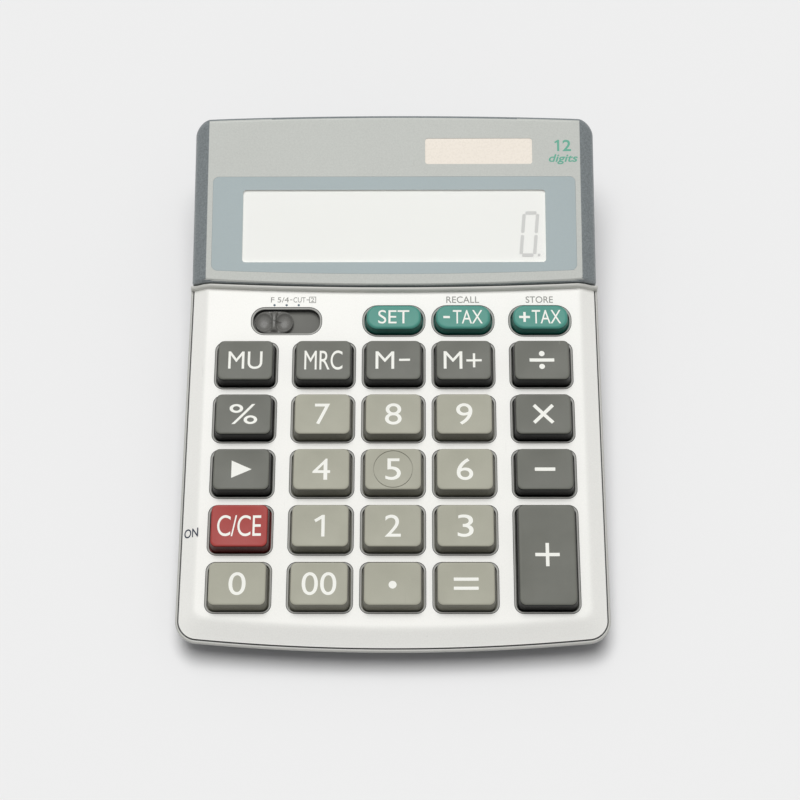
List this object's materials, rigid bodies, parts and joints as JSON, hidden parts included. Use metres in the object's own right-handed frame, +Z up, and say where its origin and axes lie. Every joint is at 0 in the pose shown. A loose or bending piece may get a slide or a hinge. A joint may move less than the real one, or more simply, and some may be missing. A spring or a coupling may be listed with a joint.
{
  "type": "desk calculator",
  "caption": "Desk calculator with a sloping panel of sprung keys, a three-stop slide selector, and a tilted display hood with a solar strip.",
  "frame": {"origin": "centre of the footprint, on the surface the feet stand on", "axes": "+X to the user's right, +Y away from the user towards the display, +Z up"},
  "size_m": [0.125, 0.1676, 0.0367],
  "materials": {
    "silver_paint": "satin silver paint on moulded plastic",
    "hood_paint": "grey metallic paint on moulded plastic",
    "dark_plastic": "fine spark texture",
    "tinted_window": "polished acrylic printed from behind",
    "clear_window": "polished clear acrylic",
    "lcd_glass": "polarised glass on a pale reflector",
    "white_plastic": "moulded",
    "connector_film": "printed polyimide film",
    "solar_glass": "amorphous silicon on glass",
    "silicone": "moulded silicone",
    "board_laminate": "solder resist over laminate",
    "chip_resin": "potting resin",
    "number_key_plastic": "satin",
    "function_key_plastic": "satin",
    "clear_key_plastic": "satin",
    "tax_key_plastic": "satin",
    "spring_metal": "plated spring strip",
    "nickel": "nickel-plated can",
    "screw_steel": "zinc-plated",
    "foot_rubber": "moulded rubber",
    "red_sheath": "wire insulation",
    "black_sheath": "wire insulation"
  },
  "bodies": {
    "case": {"upper_case": "silver_paint", "display_housing": "hood_paint", "lower_case": "dark_plastic", "battery_cover": "dark_plastic", "display_window": "tinted_window", "solar_window": "clear_window", "lcd_panel": "lcd_glass", "lcd_holder": "white_plastic", "lcd_ribbon": "connector_film", "solar_cell": "solar_glass", "rubber_keypad": "silicone", "main_pcb": "board_laminate", "processor": "chip_resin", "battery_contact_positive": "spring_metal", "battery_contact_negative": "spring_metal", "battery_cell": "nickel", "battery_screw": "screw_steel", "battery_wire_red": "red_sheath", "battery_wire_black": "black_sheath", "solar_wire_red": "red_sheath", "solar_wire_black": "black_sheath", "case_screw_1": "screw_steel", "case_screw_2": "screw_steel", "case_screw_3": "screw_steel", "case_screw_4": "screw_steel", "housing_screw_1": "screw_steel", "housing_screw_2": "screw_steel", "foot_front_left": "foot_rubber", "foot_front_right": "foot_rubber", "foot_back_left": "foot_rubber", "foot_back_right": "foot_rubber"},
    "key_mu": {"key_mu": "function_key_plastic"},
    "key_mrc": {"key_mrc": "function_key_plastic"},
    "key_m_minus": {"key_m_minus": "function_key_plastic"},
    "key_m_plus": {"key_m_plus": "function_key_plastic"},
    "key_divide": {"key_divide": "function_key_plastic"},
    "key_percent": {"key_percent": "function_key_plastic"},
    "key_7": {"key_7": "number_key_plastic"},
    "key_8": {"key_8": "number_key_plastic"},
    "key_9": {"key_9": "number_key_plastic"},
    "key_multiply": {"key_multiply": "function_key_plastic"},
    "key_shift_right": {"key_shift_right": "function_key_plastic"},
    "key_4": {"key_4": "number_key_plastic"},
    "key_5": {"key_5": "number_key_plastic"},
    "key_6": {"key_6": "number_key_plastic"},
    "key_minus": {"key_minus": "function_key_plastic"},
    "key_clear": {"key_clear": "clear_key_plastic"},
    "key_1": {"key_1": "number_key_plastic"},
    "key_2": {"key_2": "number_key_plastic"},
    "key_3": {"key_3": "number_key_plastic"},
    "key_0": {"key_0": "number_key_plastic"},
    "key_00": {"key_00": "number_key_plastic"},
    "key_point": {"key_point": "number_key_plastic"},
    "key_equals": {"key_equals": "number_key_plastic"},
    "key_plus": {"key_plus": "function_key_plastic"},
    "key_set": {"key_set": "tax_key_plastic"},
    "key_tax_minus": {"key_tax_minus": "tax_key_plastic"},
    "key_tax_plus": {"key_tax_plus": "tax_key_plastic"},
    "selector": {"selector_knob": "function_key_plastic", "selector_contact": "spring_metal"}
  },
  "joints": [
    {"name": "key_mu_press", "type": "slide", "parent": "case", "child": "key_mu", "axis": [0, 0.0785, -0.9969], "range_m": [0, 0.0012], "stiffness_N_per_m": 350, "springref_m": -0.0006},
    {"name": "key_mrc_press", "type": "slide", "parent": "case", "child": "key_mrc", "axis": [0, 0.0785, -0.9969], "range_m": [0, 0.0012], "stiffness_N_per_m": 350, "springref_m": -0.0006},
    {"name": "key_m_minus_press", "type": "slide", "parent": "case", "child": "key_m_minus", "axis": [0, 0.0785, -0.9969], "range_m": [0, 0.0012], "stiffness_N_per_m": 350, "springref_m": -0.0006},
    {"name": "key_m_plus_press", "type": "slide", "parent": "case", "child": "key_m_plus", "axis": [0, 0.0785, -0.9969], "range_m": [0, 0.0012], "stiffness_N_per_m": 350, "springref_m": -0.0006},
    {"name": "key_divide_press", "type": "slide", "parent": "case", "child": "key_divide", "axis": [0, 0.0785, -0.9969], "range_m": [0, 0.0012], "stiffness_N_per_m": 350, "springref_m": -0.0006},
    {"name": "key_percent_press", "type": "slide", "parent": "case", "child": "key_percent", "axis": [0, 0.0785, -0.9969], "range_m": [0, 0.0012], "stiffness_N_per_m": 350, "springref_m": -0.0006},
    {"name": "key_7_press", "type": "slide", "parent": "case", "child": "key_7", "axis": [0, 0.0785, -0.9969], "range_m": [0, 0.0012], "stiffness_N_per_m": 350, "springref_m": -0.0006},
    {"name": "key_8_press", "type": "slide", "parent": "case", "child": "key_8", "axis": [0, 0.0785, -0.9969], "range_m": [0, 0.0012], "stiffness_N_per_m": 350, "springref_m": -0.0006},
    {"name": "key_9_press", "type": "slide", "parent": "case", "child": "key_9", "axis": [0, 0.0785, -0.9969], "range_m": [0, 0.0012], "stiffness_N_per_m": 350, "springref_m": -0.0006},
    {"name": "key_multiply_press", "type": "slide", "parent": "case", "child": "key_multiply", "axis": [0, 0.0785, -0.9969], "range_m": [0, 0.0012], "stiffness_N_per_m": 350, "springref_m": -0.0006},
    {"name": "key_shift_right_press", "type": "slide", "parent": "case", "child": "key_shift_right", "axis": [0, 0.0785, -0.9969], "range_m": [0, 0.0012], "stiffness_N_per_m": 350, "springref_m": -0.0006},
    {"name": "key_4_press", "type": "slide", "parent": "case", "child": "key_4", "axis": [0, 0.0785, -0.9969], "range_m": [0, 0.0012], "stiffness_N_per_m": 350, "springref_m": -0.0006},
    {"name": "key_5_press", "type": "slide", "parent": "case", "child": "key_5", "axis": [0, 0.0785, -0.9969], "range_m": [0, 0.0012], "stiffness_N_per_m": 350, "springref_m": -0.0006},
    {"name": "key_6_press", "type": "slide", "parent": "case", "child": "key_6", "axis": [0, 0.0785, -0.9969], "range_m": [0, 0.0012], "stiffness_N_per_m": 350, "springref_m": -0.0006},
    {"name": "key_minus_press", "type": "slide", "parent": "case", "child": "key_minus", "axis": [0, 0.0785, -0.9969], "range_m": [0, 0.0012], "stiffness_N_per_m": 350, "springref_m": -0.0006},
    {"name": "key_clear_press", "type": "slide", "parent": "case", "child": "key_clear", "axis": [0, 0.0785, -0.9969], "range_m": [0, 0.0012], "stiffness_N_per_m": 350, "springref_m": -0.0006},
    {"name": "key_1_press", "type": "slide", "parent": "case", "child": "key_1", "axis": [0, 0.0785, -0.9969], "range_m": [0, 0.0012], "stiffness_N_per_m": 350, "springref_m": -0.0006},
    {"name": "key_2_press", "type": "slide", "parent": "case", "child": "key_2", "axis": [0, 0.0785, -0.9969], "range_m": [0, 0.0012], "stiffness_N_per_m": 350, "springref_m": -0.0006},
    {"name": "key_3_press", "type": "slide", "parent": "case", "child": "key_3", "axis": [0, 0.0785, -0.9969], "range_m": [0, 0.0012], "stiffness_N_per_m": 350, "springref_m": -0.0006},
    {"name": "key_0_press", "type": "slide", "parent": "case", "child": "key_0", "axis": [0, 0.0785, -0.9969], "range_m": [0, 0.0012], "stiffness_N_per_m": 350, "springref_m": -0.0006},
    {"name": "key_00_press", "type": "slide", "parent": "case", "child": "key_00", "axis": [0, 0.0785, -0.9969], "range_m": [0, 0.0012], "stiffness_N_per_m": 350, "springref_m": -0.0006},
    {"name": "key_point_press", "type": "slide", "parent": "case", "child": "key_point", "axis": [0, 0.0785, -0.9969], "range_m": [0, 0.0012], "stiffness_N_per_m": 350, "springref_m": -0.0006},
    {"name": "key_equals_press", "type": "slide", "parent": "case", "child": "key_equals", "axis": [0, 0.0785, -0.9969], "range_m": [0, 0.0012], "stiffness_N_per_m": 350, "springref_m": -0.0006},
    {"name": "key_plus_press", "type": "slide", "parent": "case", "child": "key_plus", "axis": [0, 0.0785, -0.9969], "range_m": [0, 0.0012], "stiffness_N_per_m": 350, "springref_m": -0.0006},
    {"name": "key_set_press", "type": "slide", "parent": "case", "child": "key_set", "axis": [0, 0.0785, -0.9969], "range_m": [0, 0.0012], "stiffness_N_per_m": 350, "springref_m": -0.0006},
    {"name": "key_tax_minus_press", "type": "slide", "parent": "case", "child": "key_tax_minus", "axis": [0, 0.0785, -0.9969], "range_m": [0, 0.0012], "stiffness_N_per_m": 350, "springref_m": -0.0006},
    {"name": "key_tax_plus_press", "type": "slide", "parent": "case", "child": "key_tax_plus", "axis": [0, 0.0785, -0.9969], "range_m": [0, 0.0012], "stiffness_N_per_m": 350, "springref_m": -0.0006},
    {"name": "selector_slide", "type": "slide", "parent": "case", "child": "selector", "axis": [1, 0, 0], "range_m": [0, 0.0074]}
  ]
}
